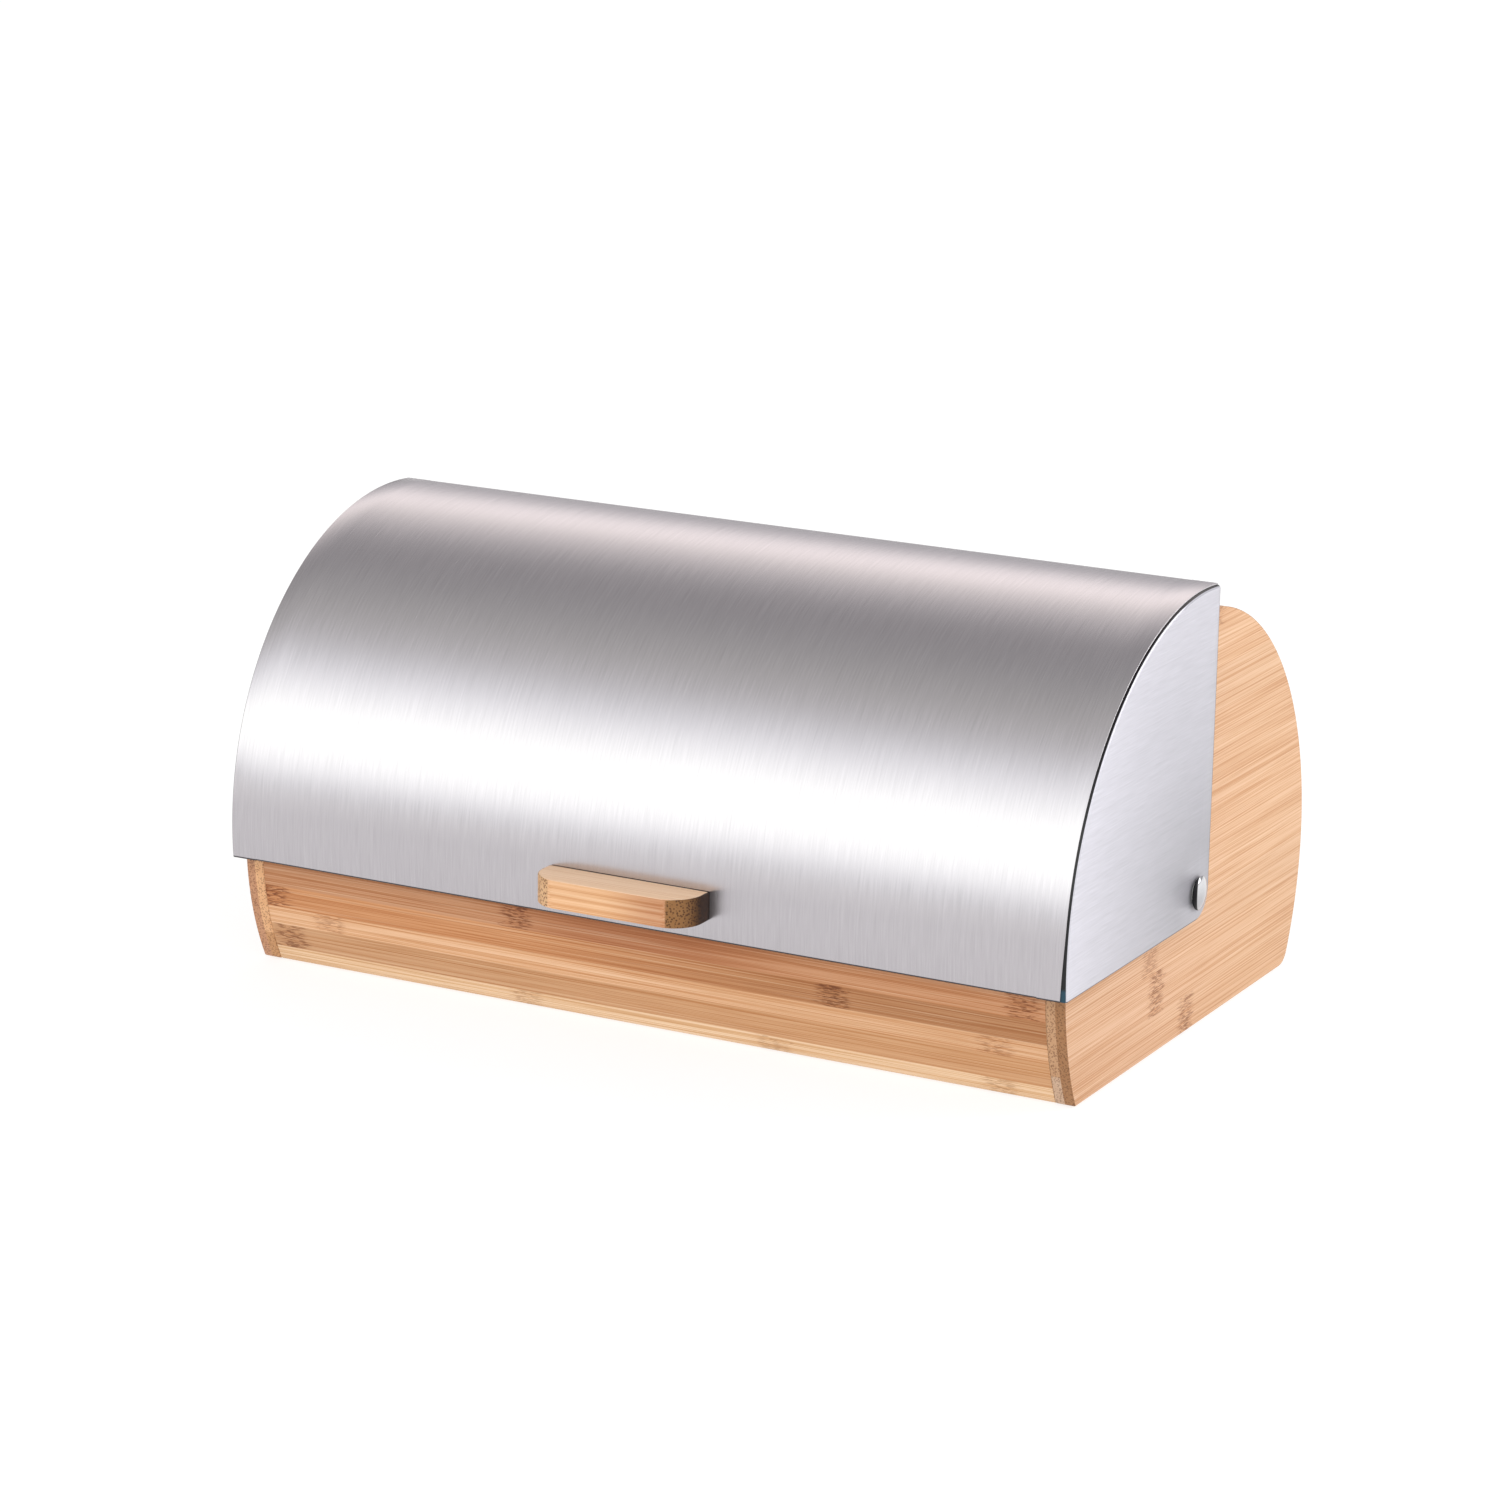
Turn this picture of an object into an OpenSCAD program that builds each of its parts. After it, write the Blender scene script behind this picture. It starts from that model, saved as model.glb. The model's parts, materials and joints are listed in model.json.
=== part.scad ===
// Bread box with a roll top: bamboo body, brushed steel lid that swings back over a fixed steel shell.
// X is the width, -Y the front, +Z up. The box stands on Z = 0, centred on the origin.

/* [Lid] */
// Overall width of the lid, over the cheeks
lid_w = 390; // [340:1:440]
// Outer radius of the curved sheet, measured from the pivot
lid_r = 128.5; // [127.5:0.5:130]
// Height of the pivot above the table
pivot_z = 61.8; // [60:0.1:63]
// How far the closed lid reaches below and behind the pivot
lid_margin = 12; // [10:0.5:13]
// Thickness of the steel sheets
sheet_t = 0.6; // [0.5:0.1:0.8]
// Width of the cheek's bent flange under the curved sheet
flange_w = 8; // [5:0.5:9]
// Width of the inward lip along the sheet's lower edge
lip_w = 14; // [12:0.5:15]
// Height of the return at the sheet's rear edge
hem_h = 2.5; // [1.5:0.5:3]

/* [Boards] */
// Radius of the side boards
board_r = 122.7; // [121:0.1:123.5]
// Height of the side boards' centre above the table
board_z = 56.8; // [55:0.1:58]
// How far the side boards' centre lies behind the pivot
board_dy = 1; // [0:0.5:2]
// Thickness of the side boards
board_t = 8.5; // [7:0.5:9]
// Gap between a cheek and its side board
cheek_gap = 2.6; // [2.2:0.1:3]
// Height of the boards' lower edge above the table
board_lift = 0.8; // [0.5:0.1:1.5]
// Rounding of the side boards' lower rear corner
rear_corner_r = 8.5; // [5:0.5:12]
// Rounding of the side boards' lower front corner
front_corner_r = 2; // [1:0.5:4]
// Thickness of the curved front and back boards
rail_t = 9; // [8:0.5:10]
// Thickness of the base board
base_t = 9; // [8:0.5:10]
// Height of the base board's underside above the table
base_lift = 5; // [4:0.5:6]

/* [Back shell] */
// Distance from the side boards' edge down to the shell
shell_inset = 6; // [5:0.5:7]
// Radius from the pivot that the shell's raised front edge reaches
shell_stop_r = 124; // [122:0.5:124.5]
// Depth of the grooves that hold the shell in the side boards
side_groove = 3; // [2:0.5:4]
// Depth of the groove in the back board's top edge
rail_groove = 8; // [6:0.5:9]

/* [Handle] */
// Length of the handle
handle_w = 74.5; // [60:0.5:100]
// Depth of the handle, out from the lid
handle_d = 19; // [14:0.5:22]
// Height of the handle
handle_h = 12; // [10:0.5:14]
// Rounding of the handle's front corners, seen from above
handle_corner_r = 13; // [8:0.5:13.5]
// Height of the handle's middle above the pivot
handle_rise = 2.8; // [0:0.1:4]

/* [Pivots] */
// Diameter of the pivot pin's shoulder
pin_d = 5; // [4:0.5:6]
// Diameter of the pin's dome head
pin_head_d = 14; // [12:0.5:16]
// Height of the head's straight rim
pin_rim_h = 0.8; // [0.5:0.1:1.5]
// Height of the dome above the rim
pin_dome_h = 1.5; // [1:0.1:2.5]
// Outer diameter of the nylon spacer
spacer_d = 12; // [10:0.5:14]

/* [Hidden] */
$fn = 128;

// Clearances
move_gap = 0.3;      // between the lid and the box where they pass or stop
pin_gap = 0.05;      // radial, pin to bush
glue_gap = 0.05;     // radial, dowels and inserts in their holes
groove_gap = 0.15;   // each side of the shell in its grooves
end_gap = 0.2;       // at the blind end of a hole or groove
through = 1;         // how far a cut runs past the face it opens
beyond = 200;        // reaches past the whole box in the plane of an outline

// Front-to-back places: the box is centred, from the handle's face to the side boards' rear
front_reach = lid_r + handle_d;
rear_reach = board_dy + board_r;
pivot_y = (front_reach - rear_reach) / 2;
board_y = pivot_y + board_dy;

// Side-to-side places
cheek_out = lid_w / 2;
cheek_in = cheek_out - sheet_t;
side_out = cheek_in - cheek_gap;
side_in = side_out - board_t;
sheet_inset = 0.8;   // the curved sheet stops short of the cheeks' outer faces
sheet_half_w = cheek_out - sheet_inset;
lip_gap = 1;         // the lip to the side boards, each end
lip_half_w = side_in - lip_gap;

// Front and back boards
rail_inset = 0.3;    // the curved boards sit just inside the side boards' edge
rail_r_out = board_r - rail_inset;
rail_r_in = rail_r_out - rail_t;
rail_r_mid = rail_r_out - rail_t / 2;
bumper_h = 1;
bumper_d = 6;
bumper_x = 120;
rail_top = pivot_z - lid_margin - move_gap - bumper_h;

// Back shell
shell_r_out = board_r - shell_inset;
shell_r_in = shell_r_out - sheet_t;
shell_front_y = pivot_y - lid_margin + sheet_t + move_gap;
shell_side = side_in + side_groove - end_gap;
stop_inset = 0.5;    // the raised edge to the side boards, each end
stop_half_w = side_in - stop_inset;
shell_screw_d = 3;
shell_screw_head_d = 6;
shell_screw_sink = 1.8;
shell_screw_len = 7;
shell_screw_z = rail_top - rail_groove / 2;
shell_screw_sunk = 0.4;   // head below the board's inner face
shell_screw_y = board_y + sqrt(pow(rail_r_in, 2) - pow(board_z - shell_screw_z, 2)) + shell_screw_sunk;
shell_screw_xs = [-120, 0, 120];

// Dowels
dowel_d = 6;
dowel_in_side = 5;
dowel_in_rail = 12;
base_dowel_dy = 70;
rail_dowel_zs = [12, 36];
function rail_y(dir, z) = board_y + dir * sqrt(pow(rail_r_mid, 2) - pow(board_z - z, 2));
base_dowels = [for (dir = [-1, 1]) [board_y + dir * base_dowel_dy, base_lift + base_t / 2]];
front_dowels = [for (z = rail_dowel_zs) [rail_y(-1, z), z]];
back_dowels = [for (z = rail_dowel_zs) [rail_y(1, z), z]];

// Pivots
insert_d = 8;
insert_len = 7;
tail_d = 4;
tail_len = 6.5;
bush_sleeve_d = 7;
bush_flange_d = 10;
bush_flange_t = 0.4;
pin_head_x = cheek_out + bush_flange_t + move_gap;

// Handle fixings
handle_screw_x = 22;
handle_screw_d = 3.4;
handle_screw_depth = 11;
handle_screw_head_d = 6.5;
handle_screw_head_h = 1.6;
washer_d = 9;
washer_t = 0.5;
handle_z = pivot_z + handle_rise;
seat_gap = 0.02;     // keeps the flat handle and washers off the curved sheet
handle_back_y = pivot_y - lid_r - seat_gap;
washer_seat_r = sqrt(pow(lid_r - sheet_t, 2) - pow(handle_rise + washer_d / 2, 2)) - seat_gap;

// Feet
foot_d = 14;
foot_dx = 160;
foot_dy = 75;
foot_spots = [for (x = [-foot_dx, foot_dx], y = [-foot_dy, foot_dy]) [x, board_y + y]];

// Extrudes a (Y, Z) outline from x0 to x1
module along_x(x0, x1) {
    translate([x0, 0, 0]) rotate([90, 0, 90]) linear_extrude(x1 - x0) children();
}

// Cylinder along +X that starts at x0
module rod_x(x0, x1, d) {
    translate([x0, 0, 0]) rotate([0, 90, 0]) cylinder(h = x1 - x0, d = d);
}

module ring(r_out, r_in) {
    difference() {
        circle(r_out);
        circle(r_in);
    }
}

// Cuts one lower corner of a board to a fillet of radius r; dir is -1 at the front, 1 at the rear
module corner_cut(r, dir) {
    fillet_z = board_lift + r - board_z;
    fillet_y = sqrt(pow(board_r - r, 2) - pow(fillet_z, 2));
    reach = (board_r + 3 * through) / (board_r - r);
    translate([board_y, board_z]) scale([dir, 1]) difference() {
        polygon([[fillet_y, fillet_z], [fillet_y, fillet_z - r - through],
                 [fillet_y + 2 * r, fillet_z - r - through], [fillet_y * reach, fillet_z * reach]]);
        translate([fillet_y, fillet_z]) circle(r);
    }
}

module side_outline() {
    difference() {
        translate([board_y, board_z]) circle(board_r, $fn = 256);
        translate([-beyond, board_lift - beyond]) square([2 * beyond, beyond]);
        corner_cut(rear_corner_r, 1);
        corner_cut(front_corner_r, -1);
    }
}

// The shell's curved part, made thicker by grow on both faces
module shell_arc(grow = 0) {
    intersection() {
        translate([board_y, board_z]) ring(shell_r_out + grow, shell_r_in - grow, $fn = 256);
        translate([shell_front_y - 2 * grow, rail_top - rail_groove + end_gap - grow]) square(beyond);
    }
}

// Right side board; the left one is its mirror image
module side_board() {
    difference() {
        along_x(side_in, side_out) side_outline();
        along_x(side_in - through, side_in + side_groove) shell_arc(groove_gap);
        for (p = concat(base_dowels, front_dowels, back_dowels))
            translate([0, p.x, p.y])
                rod_x(side_in - through, side_in + dowel_in_side + end_gap, dowel_d + 2 * glue_gap);
        translate([0, pivot_y, pivot_z])
            rod_x(side_out - insert_len, side_out + through, insert_d + 2 * glue_gap);
    }
}

// Curved board between the side boards; dir is -1 at the front, 1 at the back
module rail(dir) {
    along_x(-side_in, side_in) intersection() {
        translate([board_y, board_z]) ring(rail_r_out, rail_r_in, $fn = 256);
        translate([dir > 0 ? board_y : board_y - beyond, board_lift])
            square([beyond, rail_top - board_lift]);
    }
}

module dowel_holes(spots) {
    for (p = spots, side = [0, 1])
        mirror([side, 0, 0]) translate([0, p.x, p.y])
            rod_x(side_in - dowel_in_rail - end_gap, side_in + through, dowel_d + 2 * glue_gap);
}

module shell_screw(grow = 0) {
    rotate([-90, 0, 0]) {
        cylinder(h = shell_screw_sink, d1 = shell_screw_head_d + 2 * grow, d2 = shell_screw_d + 2 * grow);
        cylinder(h = shell_screw_len + grow, d = shell_screw_d + 2 * grow);
    }
}

// Right cheek; the left one is its mirror image
module cheek() {
    difference() {
        union() {
            along_x(cheek_in, cheek_out) translate([pivot_y, pivot_z]) cheek_outline();
            along_x(cheek_out - flange_w, cheek_out) translate([pivot_y, pivot_z]) intersection() {
                ring(lid_r - sheet_t, lid_r - 2 * sheet_t, $fn = 256);
                lid_quadrant();
            }
        }
        translate([0, pivot_y, pivot_z])
            rod_x(cheek_in - through, cheek_out + through, bush_sleeve_d + 2 * glue_gap);
    }
}

// The part of the plane that the closed lid covers, seen from the side, about the pivot
module lid_quadrant() {
    translate([-lid_r - through, -lid_margin])
        square([lid_r + through + lid_margin, lid_r + lid_margin + through]);
}

// Quarter disc whose corner is rounded about the pivot
module cheek_outline() {
    intersection() {
        circle(lid_r - sheet_t, $fn = 256);
        union() {
            circle(lid_margin);
            translate([-lid_r, -lid_margin]) square([lid_r, lid_r + lid_margin]);
            translate([-lid_r, 0]) square([lid_r + lid_margin, lid_r]);
        }
    }
}

module pin() {
    dome_r = (pow(pin_head_d / 2, 2) + pow(pin_dome_h, 2)) / (2 * pin_dome_h);
    translate([0, pivot_y, pivot_z]) {
        rod_x(side_out - tail_len, side_out, tail_d);
        rod_x(side_out, pin_head_x, pin_d);
        rod_x(pin_head_x, pin_head_x + pin_rim_h, pin_head_d);
        translate([pin_head_x + pin_rim_h, 0, 0]) rotate([0, 90, 0]) rotate_extrude() intersection() {
            translate([0, pin_dome_h - dome_r]) circle(dome_r, $fn = 256);
            square([pin_head_d, pin_dome_h]);
        }
    }
}

module insert() {
    translate([0, pivot_y, pivot_z]) difference() {
        rod_x(side_out - insert_len, side_out, insert_d);
        rod_x(side_out - insert_len - through, side_out + through, tail_d + 2 * glue_gap);
    }
}

module spacer() {
    translate([0, pivot_y, pivot_z]) difference() {
        rod_x(side_out, cheek_in - move_gap, spacer_d);
        rod_x(side_out - through, cheek_out, pin_d + 2 * groove_gap);
    }
}

module bush() {
    translate([0, pivot_y, pivot_z]) difference() {
        union() {
            rod_x(cheek_in, cheek_out, bush_sleeve_d);
            rod_x(cheek_out, cheek_out + bush_flange_t, bush_flange_d);
        }
        rod_x(cheek_in - through, cheek_out + bush_flange_t + through, pin_d + 2 * pin_gap);
    }
}

// Cylinder along +Y at the two handle screws, from y0 to y1 in front of the pivot
module handle_rods(y0, y1, d) {
    for (x = [-handle_screw_x, handle_screw_x])
        translate([x, pivot_y - y0, handle_z]) rotate([90, 0, 0]) cylinder(h = y1 - y0, d = d);
}

module handle_plan() {
    core_w = handle_w - 2 * handle_corner_r;
    translate([-handle_w / 2, handle_corner_r - handle_d]) square([handle_w, handle_d - handle_corner_r]);
    translate([-core_w / 2, -handle_d]) square([core_w, handle_corner_r]);
    for (dir = [-1, 1])
        translate([dir * core_w / 2, handle_corner_r - handle_d]) intersection() {
            circle(handle_corner_r);
            translate([-handle_corner_r, -handle_corner_r]) square([2 * handle_corner_r, handle_corner_r]);
        }
}

module side_board_left() { color("#e9c795") mirror([1, 0, 0]) side_board(); }

module side_board_right() { color("#e9c795") side_board(); }

module front_board() {
    color("#c98f5c") difference() {
        rail(-1);
        dowel_holes(front_dowels);
    }
}

module back_board() {
    color("#d9ac78") difference() {
        rail(1);
        dowel_holes(back_dowels);
        along_x(-side_in - through, side_in + through) shell_arc(groove_gap);
        for (x = shell_screw_xs)
            translate([x, shell_screw_y, shell_screw_z]) shell_screw(glue_gap);
    }
}

module base_board() {
    color("#e2bd88") difference() {
        along_x(-side_in, side_in) intersection() {
            translate([board_y, board_z]) circle(rail_r_in, $fn = 256);
            translate([-beyond, base_lift]) square([2 * beyond, base_t]);
        }
        dowel_holes(base_dowels);
    }
}

module board_dowels() {
    color("#dcb27c") for (p = concat(base_dowels, front_dowels, back_dowels), side = [0, 1])
        mirror([side, 0, 0]) translate([0, p.x, p.y])
            rod_x(side_in - dowel_in_rail, side_in + dowel_in_side, dowel_d);
}

// Curved steel shell with a raised front edge, which stops the open lid
module back_shell() {
    stop_top = pivot_z + sqrt(pow(shell_stop_r, 2) - pow(lid_margin - sheet_t - move_gap, 2));
    stop_foot = board_z + sqrt(pow(shell_r_in, 2) - pow(shell_front_y - board_y, 2));
    color("#b9bbc0") difference() {
        union() {
            along_x(-shell_side, shell_side) shell_arc();
            along_x(-stop_half_w, stop_half_w) translate([shell_front_y, stop_foot])
                square([sheet_t, stop_top - stop_foot]);
        }
        for (x = shell_screw_xs)
            translate([x, shell_screw_y, shell_screw_z]) rotate([-90, 0, 0])
                cylinder(h = shell_screw_len, d = shell_screw_d + 4 * groove_gap);
    }
}

module shell_screws() {
    color("#a9a9ad") for (x = shell_screw_xs)
        translate([x, shell_screw_y, shell_screw_z]) shell_screw();
}

module rubber_feet() {
    color("#2b2b2b") for (p = foot_spots)
        translate([p.x, p.y, 0]) cylinder(h = base_lift, d = foot_d);
}

module lid_bumpers() {
    color("#dddddd") for (x = [-bumper_x, bumper_x])
        translate([x, board_y - sqrt(pow(rail_r_mid, 2) - pow(board_z - rail_top, 2)), rail_top])
            cylinder(h = bumper_h, d = bumper_d);
}

module pivot_insert_left() { color("#b08d4a") mirror([1, 0, 0]) insert(); }

module pivot_insert_right() { color("#b08d4a") insert(); }

module pivot_pin_left() { color("#d8d8dc") mirror([1, 0, 0]) pin(); }

module pivot_pin_right() { color("#d8d8dc") pin(); }

module pivot_spacer_left() { color("#efefe8") mirror([1, 0, 0]) spacer(); }

module pivot_spacer_right() { color("#efefe8") spacer(); }

// Curved front sheet with its inward lip and its rear return
module lid_sheet() {
    edge_y = sqrt(pow(lid_r, 2) - pow(lid_margin, 2));
    color("#c6c8cc") difference() {
        union() {
            along_x(-sheet_half_w, sheet_half_w) translate([pivot_y, pivot_z]) {
                intersection() {
                    ring(lid_r, lid_r - sheet_t, $fn = 256);
                    lid_quadrant();
                }
            }
            along_x(-lip_half_w, lip_half_w) translate([pivot_y, pivot_z]) {
                translate([sheet_t / 2 - edge_y, -lid_margin]) square([lip_w, sheet_t]);
                translate([lid_margin - sheet_t, edge_y - hem_h]) square([sheet_t, hem_h - sheet_t / 2]);
            }
        }
        handle_rods(washer_seat_r - through, lid_r + through, handle_screw_d + 2 * end_gap);
    }
}

module lid_cheek_left() { color("#c2c3c9") mirror([1, 0, 0]) cheek(); }

module lid_cheek_right() { color("#c2c3c9") cheek(); }

module pivot_bush_left() { color("#f2f2ee") mirror([1, 0, 0]) bush(); }

module pivot_bush_right() { color("#f2f2ee") bush(); }

module handle() {
    color("#e3b57f") difference() {
        translate([0, handle_back_y, handle_z - handle_h / 2]) linear_extrude(handle_h) handle_plan();
        handle_rods(lid_r - through, lid_r + handle_screw_depth + end_gap,
                    handle_screw_d + 2 * glue_gap);
    }
}

module handle_screws() {
    color("#a9a9ad") {
        handle_rods(washer_seat_r - washer_t, lid_r + handle_screw_depth, handle_screw_d);
        handle_rods(washer_seat_r - washer_t - handle_screw_head_h, washer_seat_r - washer_t,
                    handle_screw_head_d);
    }
}

module handle_washers() {
    color("#c9c9cc") difference() {
        handle_rods(washer_seat_r - washer_t, washer_seat_r, washer_d);
        handle_rods(washer_seat_r - washer_t - through, washer_seat_r + through,
                    handle_screw_d + 2 * glue_gap);
    }
}

side_board_left();
side_board_right();
front_board();
back_board();
base_board();
board_dowels();
back_shell();
shell_screws();
rubber_feet();
lid_bumpers();
pivot_insert_left();
pivot_insert_right();
pivot_pin_left();
pivot_pin_right();
pivot_spacer_left();
pivot_spacer_right();
lid_sheet();
lid_cheek_left();
lid_cheek_right();
pivot_bush_left();
pivot_bush_right();
handle();
handle_screws();
handle_washers();
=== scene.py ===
import json
import math
import random

import bmesh
import bpy
from mathutils import Euler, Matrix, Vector


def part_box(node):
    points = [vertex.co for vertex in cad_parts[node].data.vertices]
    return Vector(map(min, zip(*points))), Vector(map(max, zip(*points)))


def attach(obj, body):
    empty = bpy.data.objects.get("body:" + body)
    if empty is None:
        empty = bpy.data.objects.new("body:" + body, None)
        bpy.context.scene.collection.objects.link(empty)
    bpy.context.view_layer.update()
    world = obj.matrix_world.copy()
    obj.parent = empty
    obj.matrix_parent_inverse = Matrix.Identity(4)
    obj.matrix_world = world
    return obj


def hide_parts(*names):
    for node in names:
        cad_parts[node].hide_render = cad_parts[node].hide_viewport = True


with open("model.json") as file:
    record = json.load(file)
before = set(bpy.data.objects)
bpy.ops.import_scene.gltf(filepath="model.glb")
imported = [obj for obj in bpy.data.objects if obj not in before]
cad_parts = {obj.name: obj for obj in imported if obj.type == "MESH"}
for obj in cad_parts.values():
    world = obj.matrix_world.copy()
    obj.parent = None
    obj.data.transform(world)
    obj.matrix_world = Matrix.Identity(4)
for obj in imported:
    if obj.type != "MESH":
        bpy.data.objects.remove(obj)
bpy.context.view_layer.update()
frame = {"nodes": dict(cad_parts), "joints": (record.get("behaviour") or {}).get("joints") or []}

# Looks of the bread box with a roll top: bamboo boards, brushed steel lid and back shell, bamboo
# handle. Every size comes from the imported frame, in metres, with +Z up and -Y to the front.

MM = 0.001

# ---------------------------------------------------------------- sizes, read from the frame

PIVOT = Vector(frame["joints"][0]["pos_m"])
SHEET_LO, SHEET_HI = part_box("lid_sheet")
CHEEK_LO, CHEEK_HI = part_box("lid_cheek_right")
SIDE_LO, SIDE_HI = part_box("side_board_right")
RAIL_LO, RAIL_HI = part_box("front_board")
BASE_LO, BASE_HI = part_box("base_board")
SHELL_LO, SHELL_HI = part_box("back_shell")
HANDLE_LO, HANDLE_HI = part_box("handle")
PIN_LO, PIN_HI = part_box("pivot_pin_right")

LID_R = PIVOT.y - SHEET_LO.y
LID_BELOW = PIVOT.z - SHEET_LO.z
LID_BEHIND = SHEET_HI.y - PIVOT.y
SHEET_T = 0.6 * MM
BEND_R = 1.5 * MM       # the cheek's plate into its flange
PIN_LIFT = 0.7 * MM     # from the cheek to the pin's head
PIN_R = 7.2 * MM
PIN_DOME = 1.5 * MM

BOARD_R = (SIDE_HI.y - SIDE_LO.y) / 2
BOARD_Y = (SIDE_HI.y + SIDE_LO.y) / 2
BOARD_Z = SIDE_HI.z - BOARD_R
BOARD_FOOT = SIDE_LO.z
RAIL_R = BOARD_R - 0.3 * MM
RAIL_T = 9 * MM
RAIL_TOP = RAIL_HI.z
SHELL_R = SHELL_HI.y - BOARD_Y

ARC_STEP = math.radians(1.5)


# ---------------------------------------------------------------- outlines in the (Y, Z) plane

def arc(centre, radius, start, end, step=ARC_STEP):
    """Points along an arc, angles in radians from +Y towards +Z, both ends included."""
    count = max(2, int(abs(end - start) / step) + 1)
    points = []
    for i in range(count + 1):
        angle = start + (end - start) * i / count
        points.append((centre[0] + radius * math.cos(angle), centre[1] + radius * math.sin(angle)))
    return points


def side_outline(front_r=2 * MM, rear_r=8.5 * MM):
    """The side board: a disc cut off flat at its foot, with both lower corners rounded."""

    def corner(radius):
        """How far out, how far down and at what angle the corner's centre lies."""
        drop = BOARD_Z - BOARD_FOOT - radius
        reach = math.sqrt((BOARD_R - radius) ** 2 - drop ** 2)
        return reach, drop, math.atan2(drop, reach)

    reach, drop, rear_angle = corner(rear_r)
    points = arc((BOARD_Y + reach, BOARD_Z - drop), rear_r, -math.pi / 2, -rear_angle,
                 math.radians(8))
    reach, drop, front_angle = corner(front_r)
    points += arc((BOARD_Y, BOARD_Z), BOARD_R, -rear_angle, math.pi + front_angle)[1:]
    points += arc((BOARD_Y - reach, BOARD_Z - drop), front_r, math.pi + front_angle, 1.5 * math.pi,
                  math.radians(15))[1:]
    return points


def rail_outline(direction, edge=0.7 * MM):
    """The curved front (-1) or back (1) board, with eased long edges."""
    inner = RAIL_R - RAIL_T

    def angle(radius, height):
        return math.asin((height - BOARD_Z) / radius)

    def spot(radius, height):
        return (BOARD_Y + direction * math.sqrt(radius ** 2 - (height - BOARD_Z) ** 2), height)

    points = []
    low, high = angle(RAIL_R, BOARD_FOOT + edge), angle(RAIL_R, RAIL_TOP - edge)
    for i in range(21):
        a = low + (high - low) * i / 20
        points.append((BOARD_Y + direction * RAIL_R * math.cos(a), BOARD_Z + RAIL_R * math.sin(a)))
    points += [spot(RAIL_R - edge * 0.3, RAIL_TOP - edge * 0.3), spot(RAIL_R - edge, RAIL_TOP)]
    points += [spot(inner + edge, RAIL_TOP), spot(inner + edge * 0.3, RAIL_TOP - edge * 0.3)]
    low, high = angle(inner, BOARD_FOOT + edge), angle(inner, RAIL_TOP - edge)
    for i in range(21):
        a = high + (low - high) * i / 20
        points.append((BOARD_Y + direction * inner * math.cos(a), BOARD_Z + inner * math.sin(a)))
    points += [spot(inner + edge, BOARD_FOOT), spot(RAIL_R - edge, BOARD_FOOT)]
    return points if direction > 0 else points[::-1]


def base_outline():
    """The base board fits between the curved boards."""
    inner = RAIL_R - RAIL_T
    low = math.asin((BASE_LO.z - BOARD_Z) / inner)
    high = math.asin((BASE_HI.z - BOARD_Z) / inner)
    rear = arc((BOARD_Y, BOARD_Z), inner, low, high)
    front = [(2 * BOARD_Y - y, z) for y, z in reversed(rear)]
    return rear + front


# ---------------------------------------------------------------- mesh builders

def add_object(name, data):
    obj = bpy.data.objects.new(name, data)
    bpy.context.scene.collection.objects.link(obj)
    return obj


def add_mesh(name, bm):
    """Turns a bmesh into an object, and frees it."""
    mesh = bpy.data.meshes.new(name)
    bm.to_mesh(mesh)
    bm.free()
    return add_object(name, mesh)


def finish_mesh(name, bm, body, replaced, sharp_deg=35):
    """Turns a bmesh into a shown piece that rides on a body and stands for CAD nodes."""
    bmesh.ops.recalc_face_normals(bm, faces=bm.faces)
    obj = add_mesh(name, bm)
    obj.data.shade_smooth()
    obj.data.set_sharp_from_angle(angle=math.radians(sharp_deg))
    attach(obj, body)
    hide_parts(*replaced)
    return obj


def bake_modifiers(obj, sharp_deg=35):
    """Applies the modifiers, then marks the sharp edges of what came out."""
    graph = bpy.context.evaluated_depsgraph_get()
    mesh = bpy.data.meshes.new_from_object(obj.evaluated_get(graph), depsgraph=graph)
    obj.modifiers.clear()
    obj.data = mesh
    mesh.shade_smooth()
    mesh.set_sharp_from_angle(angle=math.radians(sharp_deg))


def face_outwards(bm, outward):
    """Makes the faces agree, and turns them over if outward(face) is negative on the whole."""
    bmesh.ops.recalc_face_normals(bm, faces=bm.faces)
    if sum(outward(face) for face in bm.faces) < 0:
        bmesh.ops.reverse_faces(bm, faces=bm.faces)


def shrink(outline, distance):
    """The outline drawn in by a distance, whichever way round it runs."""
    following = outline[1:] + outline[:1]
    area = sum(a[0] * b[1] - b[0] * a[1] for a, b in zip(outline, following))
    inward = 1 if area > 0 else -1
    normals = []
    for a, b in zip(outline, following):
        length = math.dist(a, b)
        normals.append((inward * (a[1] - b[1]) / length, inward * (b[0] - a[0]) / length))
    points = []
    for (u, v), before, after in zip(outline, normals[-1:] + normals[:-1], normals):
        reach = distance / (1 + before[0] * after[0] + before[1] * after[1])
        points.append((u + (before[0] + after[0]) * reach, v + (before[1] + after[1]) * reach))
    return points


def prism(bm, outline, place, depth_lo, depth_hi, edge, segments=3):
    """A straight prism whose two end rims are rounded; place(u, v, depth) gives a point."""
    levels = []
    for i in range(segments + 1):
        a = math.pi / 2 * i / segments
        levels.append((edge * (1 - math.sin(a)), edge * (1 - math.cos(a))))
    levels = ([(inset, depth_lo + rise) for inset, rise in levels]
              + [(inset, depth_hi - rise) for inset, rise in reversed(levels)])
    rings = []
    for inset, depth in levels:
        rings.append([bm.verts.new(place(u, v, depth)) for u, v in shrink(outline, inset)])
    for low, high in zip(rings, rings[1:]):
        for i in range(len(outline)):
            j = (i + 1) % len(outline)
            bm.faces.new((low[i], low[j], high[j], high[i]))
    bm.faces.new(rings[0][::-1])
    bm.faces.new(rings[-1])


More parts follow.
